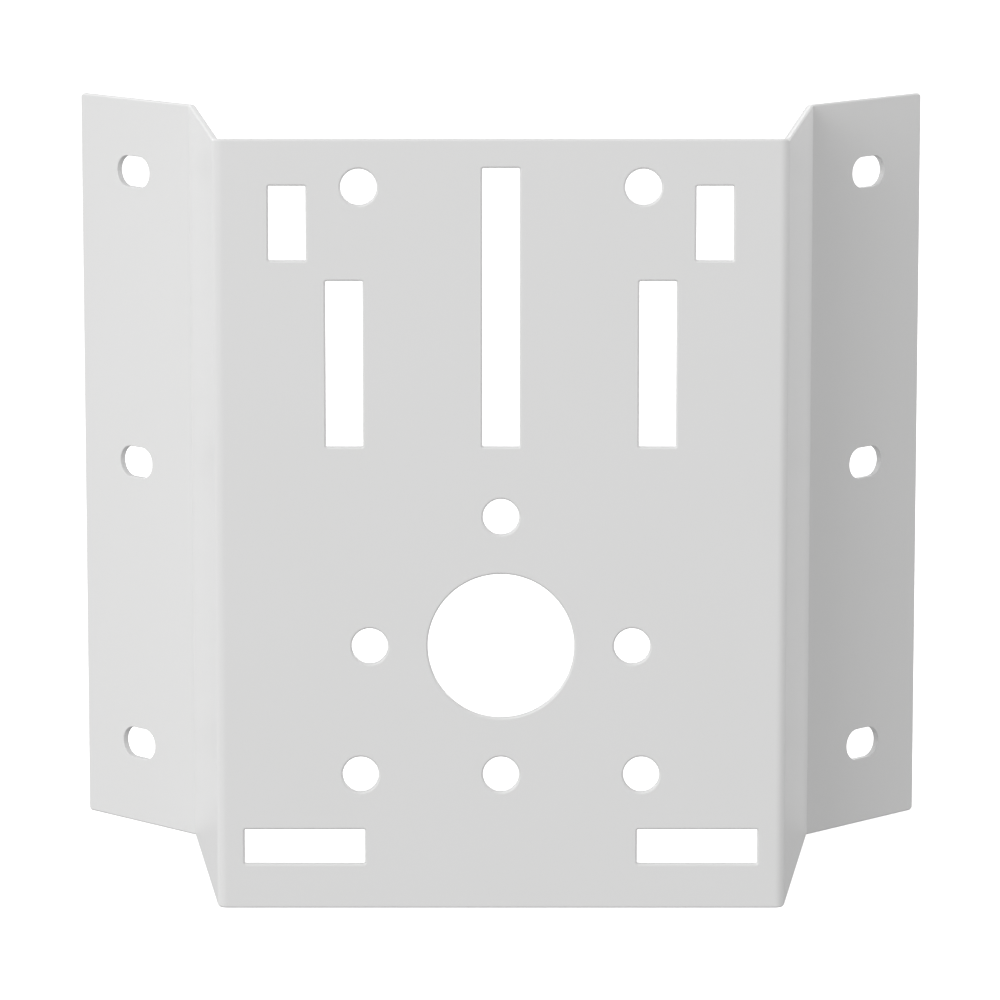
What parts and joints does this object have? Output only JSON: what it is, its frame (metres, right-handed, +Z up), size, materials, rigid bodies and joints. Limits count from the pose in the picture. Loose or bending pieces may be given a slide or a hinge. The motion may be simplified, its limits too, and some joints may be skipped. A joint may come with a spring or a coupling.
{
  "type": "camera corner mount bracket",
  "caption": "Folded sheet-metal bracket: slotted wings lie on the two walls of a building's outside corner and hold a pierced flat plate for a security camera.",
  "frame": {"origin": "under the middle of the bracket's box, at the level of the bottom edge", "axes": "+Z up along the folds, +X to the right seen from the camera side, +Y into the building; the plate faces -Y"},
  "size_m": [0.2518, 0.1276, 0.22],
  "materials": {
    "powder_coat": "fine semi-gloss powder coat, light grey-white"
  },
  "bodies": {
    "root": {"corner_bracket": "powder_coat"}
  },
  "joints": []
}
